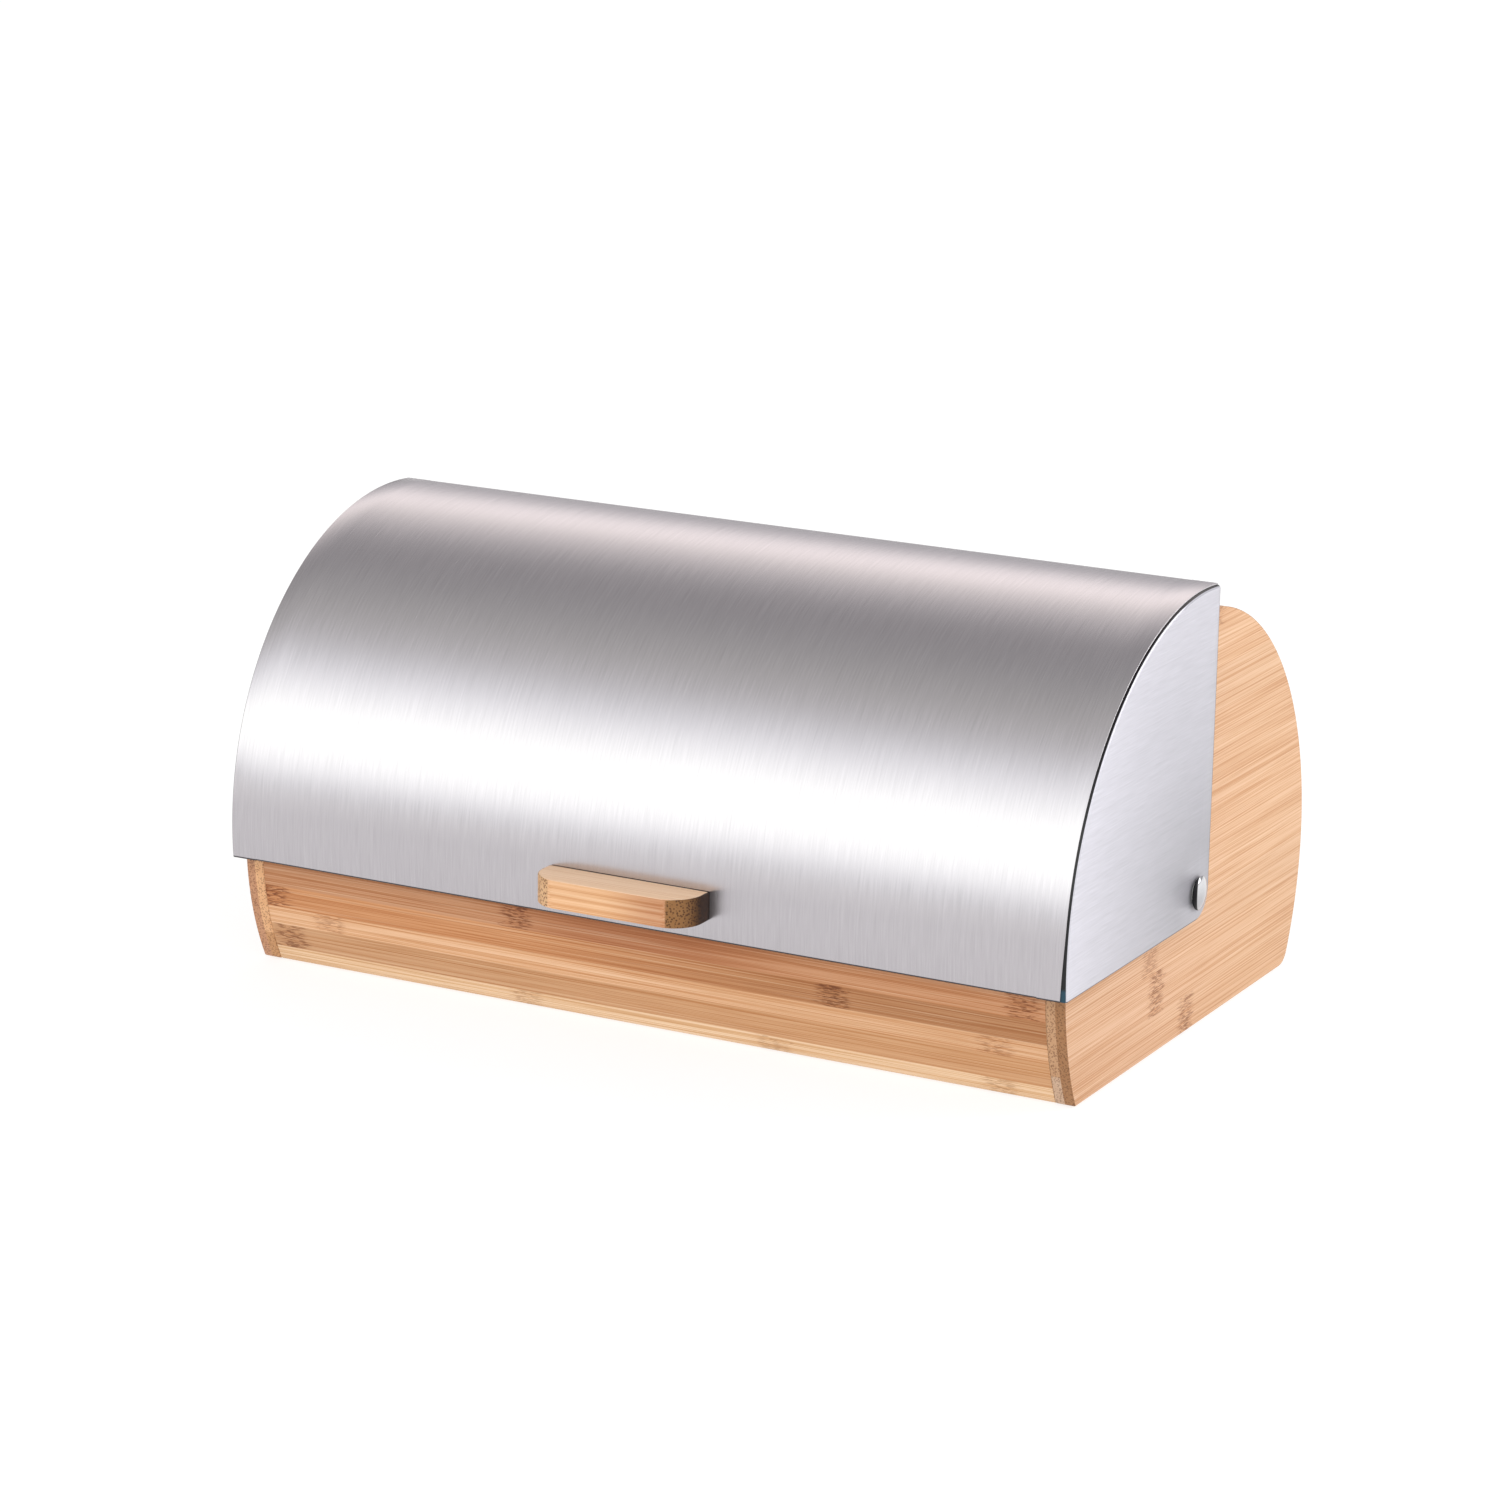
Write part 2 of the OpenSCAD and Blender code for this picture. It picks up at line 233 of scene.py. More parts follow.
def board(name, outline, x_lo, x_hi, edge, body, replaced):
    bm = bmesh.new()
    prism(bm, outline, lambda u, v, d: (d, u, v), x_lo, x_hi, edge)
    return finish_mesh(name, bm, body, replaced)


def lathe(bm, profile, origin, axis, segments=64):
    """Turns (along, radius) points about an axis through origin. A radius of 0 closes the end."""
    along = Vector(axis).normalized()
    across = along.orthogonal().normalized()
    up = along.cross(across)
    rings = []
    for distance, radius in profile:
        centre = Vector(origin) + along * distance
        if radius == 0:
            rings.append([bm.verts.new(centre)])
            continue
        ring = []
        for i in range(segments):
            a = 2 * math.pi * i / segments
            spoke = across * math.cos(a) + up * math.sin(a)
            ring.append(bm.verts.new(centre + spoke * radius))
        rings.append(ring)
    for first, second in zip(rings, rings[1:]):
        for i in range(segments):
            j = (i + 1) % segments
            corners = [first[i % len(first)], first[j % len(first)], second[j % len(second)],
                       second[i % len(second)]]
            bm.faces.new(list(dict.fromkeys(corners)))
    for ring in (rings[0], rings[-1]):
        if len(ring) > 1:
            bm.faces.new(ring)


# ---------------------------------------------------------------- bamboo pieces

SIDE_EDGE = 0.7 * MM      # rounding of the side boards' rims
SAWN_EDGE = 0.12 * MM     # rounding at the ends of the boards between them


def bamboo_pieces():
    made = {}
    for side, sign in (("left", -1), ("right", 1)):
        x = sorted((sign * SIDE_LO.x, sign * SIDE_HI.x))
        made["side_" + side] = board("side_board_" + side + "_milled", side_outline(), x[0], x[1],
                                     SIDE_EDGE, "box", ["side_board_" + side])
    for name, direction in (("front_board", -1), ("back_board", 1)):
        made[name] = board(name + "_laminated", rail_outline(direction), RAIL_LO.x, RAIL_HI.x,
                           SAWN_EDGE, "box", [name])
    made["base"] = board("base_board_planed", base_outline(), BASE_LO.x, BASE_HI.x, SAWN_EDGE,
                         "box", ["base_board"])
    made["handle"] = handle()
    return made


def handle(corner=13 * MM, edge=0.6 * MM, ease=0.5 * MM):
    """The handle: a flat back, a flat front and two large round front corners."""
    half, front, back = HANDLE_HI.x, HANDLE_LO.y, HANDLE_HI.y
    step = math.radians(5)
    outline = [(half - ease, back), (-half + ease, back), (-half, back - ease)]
    outline += arc((-half + corner, front + corner), corner, math.pi, 1.5 * math.pi, step)
    outline += arc((half - corner, front + corner), corner, 1.5 * math.pi, 2 * math.pi, step)
    outline += [(half, back - ease)]
    bm = bmesh.new()
    prism(bm, outline, lambda u, v, d: (u, v, d), HANDLE_LO.z, HANDLE_HI.z, edge, 4)
    return finish_mesh("handle_milled", bm, "lid", ["handle"], 40)


# ---------------------------------------------------------------- steel sheets

def skin(name, rows, uv_of, body, replaced, complete):
    """A formed sheet, made SHEET_T thick on its inner side.

    It starts as a grid of points; complete(bm, grid) adds the rest and turns the faces outwards.
    """
    bm = bmesh.new()
    uv = bm.loops.layers.uv.new("UVMap")
    grid = [[bm.verts.new(p) for p in row] for row in rows]
    for row, following in zip(grid, grid[1:]):
        for i in range(len(row) - 1):
            bm.faces.new((row[i], row[i + 1], following[i + 1], following[i]))
    complete(bm, grid)
    for face in bm.faces:
        for loop in face.loops:
            loop[uv].uv = uv_of(loop.vert.co)
    obj = add_mesh(name, bm)
    thick = obj.modifiers.new("thickness", "SOLIDIFY")
    thick.thickness = SHEET_T
    thick.offset = -1
    thick.use_even_offset = True
    thick.material_offset_rim = 1
    ease = obj.modifiers.new("edges", "BEVEL")
    ease.width = 0.12 * MM
    ease.segments = 2
    ease.angle_limit = math.radians(50)
    bake_modifiers(obj)
    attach(obj, body)
    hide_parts(*replaced)
    return obj


LID_SPANS = 84          # faces along the lid's curve
SHEET_COLUMNS = 12      # faces across the width


def lid_angle_uv(co):
    """Across the width, and along the curve, in metres."""
    return (co.x, LID_R * math.atan2(co.z - PIVOT.z, PIVOT.y - co.y))


def lid_point(x, radius, angle):
    """A point on the lid; the angle is 0 in front of the pivot and 90 degrees above it."""
    return (x, PIVOT.y - radius * math.cos(angle), PIVOT.z + radius * math.sin(angle))


def lid_span(radius):
    """The angles at which a curve about the pivot meets the lid's lower and rear edges."""
    return -math.asin(LID_BELOW / radius), math.pi / 2 + math.asin(LID_BEHIND / radius)


def across_width(half):
    """Evenly spaced x values from -half to half."""
    return [-half + 2 * half * i / SHEET_COLUMNS for i in range(SHEET_COLUMNS + 1)]


def sheet_edge_x(angle, side, inset=0.4 * MM, draw=1.4 * MM, from_deg=7, to_deg=-6):
    """Where the curved sheet ends on one side; it draws in towards its lower right corner."""
    lower = max(0.0, 1 - (math.degrees(angle) - to_deg) / (from_deg - to_deg))
    drawn = draw * lower ** 1.5 if side > 0 else 0
    return side * (SHEET_HI.x - inset - drawn)


def lid_sheet(bend=0.9 * MM, lip_gap=1 * MM):
    """Curved front sheet with an inward lip below and a short return behind."""
    xs = across_width(RAIL_HI.x - lip_gap)
    first, last = lid_span(LID_R)

    def row(angle):
        columns = (sheet_edge_x(angle, -1), *xs, sheet_edge_x(angle, 1))
        return [lid_point(x, LID_R, angle) for x in columns]

    start, stop = first + bend / LID_R, last - bend / LID_R
    rows = [row(start + (stop - start) * i / LID_SPANS) for i in range(LID_SPANS + 1)]
    return skin("lid_sheet_formed", rows, lid_angle_uv, "lid", ["lid_sheet"],
                lambda bm, grid: lid_edges(bm, grid, row(first), row(last), bend))


def lid_edges(bm, grid, lowest, highest, bend, lip=14 * MM, hem=2.5 * MM, steps=5):
    """Adds the lip, the return and the short outer ends to the curved grid."""
    bottom, top = PIVOT.z - LID_BELOW, PIVOT.y + LID_BEHIND
    low, high = grid[0], grid[-1]
    low_y, low_z = low[1].co.y, low[1].co.z
    high_y, high_z = high[1].co.y, high[1].co.z
    lip_rows, hem_rows = [], []
    for i in range(1, steps + 1):
        a = math.pi / 2 * i / steps
        lip_rows.append((low_y + bend * (1 - math.cos(a)), low_z - (low_z - bottom) * math.sin(a)))
        hem_rows.append((high_y + (top - high_y) * math.sin(a), high_z - bend * (1 - math.cos(a))))
    lip_rows += [(low_y + lip * 0.5, bottom), (low_y + lip, bottom)]
    hem_rows.append((top, high_z - hem))
    for start, added in ((low, lip_rows), (high, hem_rows)):
        previous = start[1:-1]
        for y, z in added:
            row = [bm.verts.new((v.co.x, y, z)) for v in previous]
            for i in range(len(row) - 1):
                bm.faces.new((previous[i], previous[i + 1], row[i + 1], row[i]))
            previous = row
    for start, row in ((low, lowest), (high, highest)):
        for outer, inner, point in ((start[0], start[1], row[0]), (start[-1], start[-2], row[-1])):
            corner = bm.verts.new(point)
            beside = bm.verts.new((inner.co.x, point[1], point[2]))
            bm.faces.new((outer, inner, beside, corner))
    face_outwards(bm, lambda face: face.normal.dot(face.calc_center_median() - PIVOT))


def cheek(side, sign, hole_r=3.6 * MM, bend_steps=6):
    """End cheek: a flat plate bent over into a flange that lies under the curved sheet."""
    outer_x, flange_x = CHEEK_HI.x, CHEEK_LO.x
    flange_r = LID_R - SHEET_T
    plate_r = flange_r - BEND_R
    profile = [(flange_x, flange_r), ((flange_x + outer_x - BEND_R) / 2, flange_r)]
    for i in range(bend_steps + 1):
        a = math.pi / 2 * i / bend_steps
        profile.append((outer_x - BEND_R + BEND_R * math.sin(a), plate_r + BEND_R * math.cos(a)))
    rows = []
    for i in range(LID_SPANS + 1):
        row = []
        for x, radius in profile:
            first, last = lid_span(radius)
            row.append(lid_point(sign * x, radius, first + (last - first) * i / LID_SPANS))
        rows.append(row)

    def plate(bm, grid):
        """Fills the flat plate inside the bend, around the bush's hole."""

        def verts(points):
            return [bm.verts.new((sign * outer_x, y, z)) for y, z in points]

        centre = (PIVOT.y, PIVOT.z)
        corner = arc(centre, LID_BEHIND, 0, -math.pi / 2, math.radians(6))
        loop = [row[-1] for row in grid] + verts(corner)
        hole = verts(arc(centre, hole_r, 0, 2 * math.pi, math.radians(15))[:-1])
        outside, inside = zip(loop, loop[1:] + loop[:1]), zip(hole, hole[1:] + hole[:1])
        edges = [bm.edges.get(pair) or bm.edges.new(pair) for pair in outside]
        edges += [bm.edges.new(pair) for pair in inside]
        bmesh.ops.triangle_fill(bm, edges=edges, use_beauty=True, normal=(sign, 0, 0))
        face_outwards(bm, lambda face: face.normal.x * sign * face.calc_area())

    return skin("lid_cheek_" + side + "_formed", rows, lambda co: (co.z, co.y), "lid",
                ["lid_cheek_" + side], plate)


def back_shell(tuck=0.3 * MM, stop_depth=4 * MM, bend=1.2 * MM, bend_steps=5, rail_lap=0.5 * MM):
    """Fixed curved shell: a raised front edge, then the curve down to the back board.

    It reaches into the side boards by tuck, and below the back board's top by rail_lap.
    """
    front_y = SHELL_LO.y + SHEET_T
    top_z = SHELL_HI.z
    start = math.acos((front_y + bend - BOARD_Y) / SHELL_R)
    end = math.asin((RAIL_TOP - rail_lap - BOARD_Z) / SHELL_R)
    curve = arc((BOARD_Y, BOARD_Z), SHELL_R, start, end)
    first_y, first_z = curve[0]
    path = [(front_y, top_z), (front_y, top_z - stop_depth)]
    for i in range(bend_steps + 1):
        a = math.pi / 2 * i / bend_steps
        path.append((first_y - bend * math.cos(a), first_z + bend * (1 - math.sin(a))))
    path += curve[1:]
    xs = across_width(RAIL_HI.x + tuck)
    rows = [[(x, y, z) for x in xs] for y, z in path]

    def face_out(bm, _grid):
        middle = Vector((0, BOARD_Y, BOARD_Z))
        face_outwards(bm, lambda face: face.normal.dot(face.calc_center_median() - middle))

    def uv(co):
        return (co.x, SHELL_R * math.atan2(co.z - BOARD_Z, BOARD_Y - co.y))

    return skin("back_shell_formed", rows, uv, "box", ["back_shell"], face_out)


# ---------------------------------------------------------------- turned and small pieces

CUT_CLEANUP = 0.002 * MM    # edges shorter than this are leftovers of a cut


def pivot_pin(side, sign, tail_r=2 * MM, shoulder_r=2.5 * MM, chamfer=0.4 * MM, under=1.3 * MM):
    """Pivot pin: a tail in the board, a shoulder, and a thin head, rounded below, domed above."""
    head_x = CHEEK_HI.x + PIN_LIFT
    rim_x = PIN_HI.x - PIN_DOME
    profile = [(PIN_LO.x, 0), (PIN_LO.x, tail_r - chamfer), (PIN_LO.x + chamfer, tail_r),
               (SIDE_HI.x, tail_r), (SIDE_HI.x, shoulder_r), (head_x, shoulder_r)]
    steps = 8
    for i in range(steps + 1):
        a = math.pi / 2 * i / steps
        profile.append((head_x + (rim_x - head_x) * (1 - math.cos(a)),
                        PIN_R - under * (1 - math.sin(a))))
    steps, flatness = 16, 1.6
    for i in range(1, steps + 1):
        a = math.pi / 2 * i / steps
        radius = PIN_R * math.cos(a) if i < steps else 0
        profile.append((rim_x + PIN_DOME * math.sin(a) ** flatness, radius))
    bm = bmesh.new()
    lathe(bm, profile, (0, PIVOT.y, PIVOT.z), (sign, 0, 0), 96)
    return finish_mesh("pivot_pin_" + side + "_turned", bm, "box", ["pivot_pin_" + side],
                       50)


def cross_recess(obj, spots, axis, size, depth, taper=0.45, arm_width=0.2, over=0.3 * MM):
    """Cuts a cross recess into each screw head, narrower by taper at its bottom."""
    bm = bmesh.new()
    along = Vector(axis)
    for spot in spots:
        across = along.orthogonal().normalized()
        for arm in (across, along.cross(across)):
            side = along.cross(arm)
            corners = []
            for shift, scale in ((-depth, taper), (over, 1.0)):
                for a, b in ((-1, -1), (1, -1), (1, 1), (-1, 1)):
                    reach = arm * (a * size * scale) + side * (b * size * arm_width)
                    corners.append(bm.verts.new(Vector(spot) + along * shift + reach))
            for face in ((3, 2, 1, 0), (4, 5, 6, 7), (0, 1, 5, 4), (1, 2, 6, 5), (2, 3, 7, 6),
                         (3, 0, 4, 7)):
                bm.faces.new([corners[i] for i in face])
    bmesh.ops.recalc_face_normals(bm, faces=bm.faces)
    cutter = add_mesh("cutter", bm)
    cut = obj.modifiers.new("recess", "BOOLEAN")
    cut.object = cutter
    cut.solver = "EXACT"
    cut.use_self = True
    bpy.context.view_layer.update()
    bake_modifiers(obj, 40)
    bpy.data.objects.remove(cutter)
    bm = bmesh.new()
    bm.from_mesh(obj.data)
    bmesh.ops.dissolve_degenerate(bm, dist=CUT_CLEANUP, edges=bm.edges)
    bm.to_mesh(obj.data)
    bm.free()


def screws_of(node, body, xs, facing, head, thread, length_left):
    """Screws in a row, their cross recesses facing along Y (1 or -1).

    head is the head's profile; thread is (outer radius, root radius, pitch) and stops length_left
    before the tip.
    """
    lo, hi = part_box(node)
    centre_z = (lo.z + hi.z) / 2
    head_y = hi.y if facing > 0 else lo.y
    length = hi.y - lo.y
    outer, root, pitch = thread
    profile, turn = list(head), head[-1][0]
    while turn < length - length_left:
        profile += [(turn + pitch / 2, outer), (turn + pitch, root)]
        turn += pitch
    profile.append((length, 0))
    spots = [(x, head_y, centre_z) for x in xs]
    bm = bmesh.new()
    for spot in spots:
        lathe(bm, profile, spot, (0, -facing, 0), 32)
    obj = finish_mesh(node + "_turned", bm, body, [node], 40)
    return obj, spots


def handle_screws(spread=22 * MM):
    """Two pan-head screws that hold the handle from inside the lid."""
    head = [(0, 0), (0.15 * MM, 2.2 * MM), (0.45 * MM, 2.9 * MM), (0.9 * MM, 3.2 * MM),
            (1.6 * MM, 3.25 * MM), (1.6 * MM, 1.7 * MM)]
    obj, spots = screws_of("handle_screws", "lid", (-spread, spread), 1, head,
                           (1.7 * MM, 1.35 * MM, 0.7 * MM), 1.6 * MM)
    cross_recess(obj, spots, (0, 1, 0), 1.7 * MM, 1 * MM)
    return obj


def shell_screws(head_r=3 * MM):
    """Countersunk screws through the back board into the shell."""
    lo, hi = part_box("shell_screws")
    head = [(0, 0), (0, 2.7 * MM), (0.12 * MM, head_r), (1.8 * MM, 1.5 * MM)]
    obj, spots = screws_of("shell_screws", "box", (lo.x + head_r, 0, hi.x - head_r), -1, head,
                           (1.5 * MM, 1.2 * MM, 0.6 * MM), 1 * MM)
    cross_recess(obj, spots, (0, -1, 0), 1.5 * MM, 1 * MM)
    return obj


def discs(name, nodes, spots, height, radius, edge, body):
    """Moulded discs with rounded rims, standing on each spot."""
    bm = bmesh.new()
    steps = 6
    for spot in spots:
        profile = [(0, 0), (0, radius - edge)]
        for i in range(1, steps + 1):
            a = math.pi / 2 * i / steps
            profile.append((edge * (1 - math.cos(a)), radius - edge + edge * math.sin(a)))
        for i in range(steps + 1):
            a = math.pi / 2 * i / steps
            profile.append((height - edge + edge * math.sin(a), radius - edge + edge * math.cos(a)))
        profile.append((height, 0))
        lathe(bm, profile, spot, (0, 0, 1), 40)
    return finish_mesh(name, bm, body, nodes, 60)


def small_pieces(foot_r=7 * MM):
    """The four feet and the two bumpers."""
    lo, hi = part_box("rubber_feet")
    spots = [(x, y, lo.z) for x in (lo.x + foot_r, hi.x - foot_r)
             for y in (lo.y + foot_r, hi.y - foot_r)]
    feet = discs("rubber_feet_moulded", ["rubber_feet"], spots, hi.z - lo.z, foot_r, 0.8 * MM,
                 "box")
    lo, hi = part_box("lid_bumpers")
    radius = (hi.y - lo.y) / 2
    spots = [(x, (lo.y + hi.y) / 2, lo.z) for x in (lo.x + radius, hi.x - radius)]
    bumpers = discs("lid_bumpers_moulded", ["lid_bumpers"], spots, hi.z - lo.z, radius, 0.45 * MM,
                    "box")
    return {"feet": feet, "bumpers": bumpers}


# ---------------------------------------------------------------- node graphs

class Graph:
    """Short names for building a material's nodes."""

    def __init__(self, name):
        self.material = bpy.data.materials.new(name)
        self.material.use_nodes = True
        self.tree = self.material.node_tree
        self.shader = self.tree.nodes["Principled BSDF"]
        self.coords = self.tree.nodes.new("ShaderNodeTexCoord")

    def node(self, kind, **settings):
        made = self.tree.nodes.new("ShaderNode" + kind)
        for key, value in settings.items():
            setattr(made, key, value)
        return made

    def feed(self, socket, value):
        if isinstance(value, bpy.types.NodeSocket):
            self.tree.links.new(value, socket)
        else:
            socket.default_value = value

    def math(self, operation, a, b=0.0):
        made = self.node("Math", operation=operation)
        self.feed(made.inputs[0], a)
        self.feed(made.inputs[1], b)
        return made.outputs[0]

    def add(self, a, b):
        return self.math("ADD", a, b)

    def sub(self, a, b):
        return self.math("SUBTRACT", a, b)

    def mul(self, a, b):
        return self.math("MULTIPLY", a, b)

    def ramp(self, value, low, high):
        """0 at low, 1 at high, smooth between."""
        made = self.node("MapRange", interpolation_type="SMOOTHSTEP", clamp=True)
        self.feed(made.inputs["Value"], value)
        self.feed(made.inputs["From Min"], low)
        self.feed(made.inputs["From Max"], high)
        return made.outputs["Result"]

    def mix(self, factor, a, b, blend="MIX"):
        made = self.node("Mix", data_type="RGBA", blend_type=blend)
        self.feed(made.inputs[0], factor)
        self.feed(made.inputs[6], a)
        self.feed(made.inputs[7], b)
        return made.outputs[2]

    def vector(self, x, y, z):
        made = self.node("CombineXYZ")
        for socket, value in zip(made.inputs, (x, y, z)):
            self.feed(socket, value)
        return made.outputs[0]

    def split(self, vector):
        made = self.node("SeparateXYZ")
        self.feed(made.inputs[0], vector)
        return list(made.outputs)

    def noise(self, vector, detail=2.0, roughness=0.5, scale=1.0):
        made = self.node("TexNoise")
        self.feed(made.inputs["Vector"], vector)
        made.inputs["Scale"].default_value = scale
        made.inputs["Detail"].default_value = detail
        made.inputs["Roughness"].default_value = roughness
        return made.outputs["Fac"]

    def bump(self, height, distance, strength=1.0):
        made = self.node("Bump")
        made.inputs["Strength"].default_value = strength
        made.inputs["Distance"].default_value = distance
        self.feed(made.inputs["Height"], height)
        self.feed(self.shader.inputs["Normal"], made.outputs["Normal"])

    def set(self, **values):
        for key, value in values.items():
            self.feed(self.shader.inputs[key.replace("_", " ")], value)


def shade(colour, factor):
    """A fixed colour made lighter or darker."""
    return tuple(min(1.0, c * factor) for c in colour[:3]) + (1.0,)


def times(g, colour, tint):
    """A colour from the graph multiplied by a fixed tint."""
    return g.mix(1.0, colour, (*tint, 1), "MULTIPLY")


def bamboo(name, grain, across, strips, marks, end_tone, seed, tint=None, depth=1.0, speckle=0.6,
           pores=1150):
    """Laminated bamboo.

    grain and across are axis numbers; strips are (upper limit, tone). marks are growth rings:
    (place along the grain, from, to across, strength). end_tone(g, position) gives the end grain's
    tone, and tint(g, position, normal, colour) changes the strips' tones. depth is how much the
    fibres darken the strips, speckle how dark the vessels are, and pores how many of them there are
    in a metre.
    """
    g = Graph(name)
    position = g.split(g.coords.outputs["Object"])
    normal = g.split(g.coords.outputs["Normal"])
    along, side, third = position[grain], position[across], position[3 - grain - across]

    def grain_noise(k_along, k_side, detail, shift, roughness=0.5):
        moved = g.vector(g.add(g.mul(along, k_along), seed + shift),
                         g.mul(side, k_side), g.mul(third, k_side))
        return g.noise(moved, detail, roughness)

    def darker(colour, mask, amount, tint):
        return g.mix(g.mul(mask, amount * depth), colour, times(g, colour, tint))

    # strips side by side, each with its own tone
    colour = strips[0][1]
    for (limit, _), (_, tone) in zip(strips, strips[1:]):
        colour = g.mix(g.ramp(side, limit - 0.12 * MM, limit + 0.12 * MM), colour, tone)
    if tint:
        colour = tint(g, position, normal, colour)

    # soft bands, thin dark lines, pale lines, and single fibres
    bands = grain_noise(3, 160, 2, 0.0)
    lines = grain_noise(4, 1700, 2, 8.1, 0.6)
    pale = grain_noise(6, 1100, 2, 14.3, 0.6)
    fibres = grain_noise(18, 3000, 2, 3.7)
    colour = darker(colour, g.ramp(bands, 0.40, 0.68), 0.6, (0.94, 0.89, 0.83))
    colour = darker(colour, g.ramp(lines, 0.49, 0.59), 1.0, (0.82, 0.69, 0.54))
    colour = g.mix(g.mul(g.ramp(pale, 0.54, 0.68), 0.35), colour,
                   g.mix(0.40, colour, (1.0, 0.80, 0.58, 1)))
    colour = darker(colour, g.ramp(fibres, 0.46, 0.62), 0.9, (0.87, 0.79, 0.69))

    # growth rings: a ragged column of short dark dashes in a brown cloud
    ragged = grain_noise(40, 950, 2, 21.0)
    dashes = grain_noise(260, 2000, 2, 33.0)
    wander = g.mul(g.sub(ragged, 0.5), 14 * MM)
    warped = g.add(along, wander)
    rings = 0.0
    for place, low, high, strength in marks:
        distance = g.math("ABSOLUTE", g.sub(warped, place))
        window = g.mul(g.ramp(side, low - 0.1 * MM, low + 0.3 * MM),
                       g.ramp(side, high + 0.1 * MM, high - 0.3 * MM))
        column = g.mul(g.ramp(distance, 9 * MM, 4 * MM), window)
        rings = g.math("MAXIMUM", rings, g.mul(column, strength))
    dark = g.mul(rings, g.ramp(dashes, 0.47, 0.56))
    colour = g.mix(g.mul(rings, 0.5), colour, times(g, colour, (0.88, 0.77, 0.66)))
    colour = g.mix(dark, colour, times(g, colour, (0.44, 0.31, 0.21)))

    # end grain: vessel dots wherever the surface cuts across the fibres
    end = g.ramp(g.math("ABSOLUTE", normal[grain]), 0.20, 0.27)
    dots = g.node("TexVoronoi", feature="F1")
    g.feed(dots.inputs["Vector"], g.coords.outputs["Object"])
    dots.inputs["Scale"].default_value = pores
    speck = g.ramp(dots.outputs["Distance"], 0.50, 0.28)
    patches = g.noise(g.coords.outputs["Object"], 3, 0.6, 220)
    end_colour = end_tone(g, position)
    end_colour = g.mix(g.ramp(patches, 0.35, 0.7), end_colour,
                       times(g, end_colour, (0.93, 0.89, 0.85)))
    vessel = times(g, end_colour, (0.30, 0.22, 0.17))
    end_colour = g.mix(g.mul(speck, speckle), end_colour, vessel)
    g.set(Base_Color=g.mix(end, colour, end_colour))
    g.set(Roughness=g.add(g.mul(fibres, 0.16), 0.42))
    g.shader.inputs["Specular IOR Level"].default_value = 0.3
    relief = g.add(g.mul(fibres, 0.5), g.mul(dark, -0.6))
    holes = g.mul(g.mul(speck, end), 0.5)
    g.bump(g.sub(relief, holes), 0.05 * MM, 0.7)
    return g.material


PIT_CELLS = 60      # places for a pinhole in a metre, of which few have one
BURNISHED = 0.12    # roughness of a burnished bend


def brushed(name, base, roughness, anisotropy, streak, painted_light=None, bend=None, metallic=1.0):
    """Brushed steel. The UV map runs across the brush lines in U and along them in V, in metres.

    streak is how much the lines vary in tone. The function given after streak paints light and
    shade into the tone, and bend(g) is 1 where the bending tool has burnished it. A low metallic
    makes a satin sheet that shows its own tone more than what it mirrors.
    """
    g = Graph(name)
    u, v, _ = g.split(g.coords.outputs["UV"])

    def lines(k_u, k_v, detail, shift):
        """Noise about 0, with k_u and k_v waves in a metre across and along the brush lines."""
        moved = g.vector(g.add(g.mul(u, k_u), shift), g.mul(v, k_v), 0.0)
        return g.sub(g.noise(moved, detail), 0.5)

    hair = lines(1900, 70, 2, 0.0)
    scratch = lines(900, 18, 2, 5.0)
    bands = lines(150, 5, 3, 9.0)
    clouds = lines(14, 16, 3, 12.0)
    tone = 1.0
    for layer, share in ((hair, 1.4), (scratch, 0.8), (bands, 0.25), (clouds, 0.4)):
        tone = g.add(g.mul(layer, share * streak), tone)
    colour = g.mix(1.0, base, g.vector(tone, tone, tone), "MULTIPLY")

    # a few pinholes
    cells = g.node("TexVoronoi", feature="F1")
    g.feed(cells.inputs["Vector"], g.vector(g.mul(u, PIT_CELLS), g.mul(v, PIT_CELLS), 0.0))
    chosen = g.ramp(g.split(cells.outputs["Color"])[0], 0.66, 0.68)
    pit = g.mul(g.ramp(cells.outputs["Distance"], 0.019, 0.010), chosen)
    colour = g.mix(g.mul(pit, 0.55), colour, shade(base, 0.25))
    # painted light and shade, where given
    if painted_light:
        colour = painted_light(g, colour)
    g.set(Base_Color=colour)
    g.shader.inputs["Metallic"].default_value = metallic
    gloss = g.add(g.mul(hair, 0.08), roughness)
    if bend:
        gloss = g.sub(gloss, g.mul(bend(g), roughness - BURNISHED))
    g.set(Roughness=gloss)
    g.shader.inputs["Anisotropic"].default_value = anisotropy
    tangent = g.node("Tangent", direction_type="UV_MAP", uv_map="UVMap")
    g.feed(g.shader.inputs["Tangent"], tangent.outputs[0])
    g.bump(g.add(hair, g.mul(scratch, 0.3)), 0.004 * MM, 0.12)
    return g.material


def machined(name, base, roughness, metallic=1.0, grain=900.0, wear=0.08):
    """Turned metal, moulded plastic or rubber: fine texture in colour, gloss and relief."""
    g = Graph(name)
    small = g.noise(g.coords.outputs["Object"], 3, 0.6, grain)
    large = g.noise(g.coords.outputs["Object"], 2, 0.5, grain / 8)
    colour = g.mix(g.ramp(large, 0.3, 0.7), shade(base, 1 - wear), shade(base, 1 + wear))
    specks = g.mul(g.ramp(small, 0.5, 0.75), 0.4)
    g.set(Base_Color=g.mix(specks, colour, shade(base, 1 - 2 * wear)))
    g.set(Roughness=g.add(g.mul(small, roughness * 0.5), roughness * 0.75))
    g.shader.inputs["Metallic"].default_value = metallic
    g.bump(small, 0.01 * MM, 0.3)
    return g.material


# ---------------------------------------------------------------- materials of this box

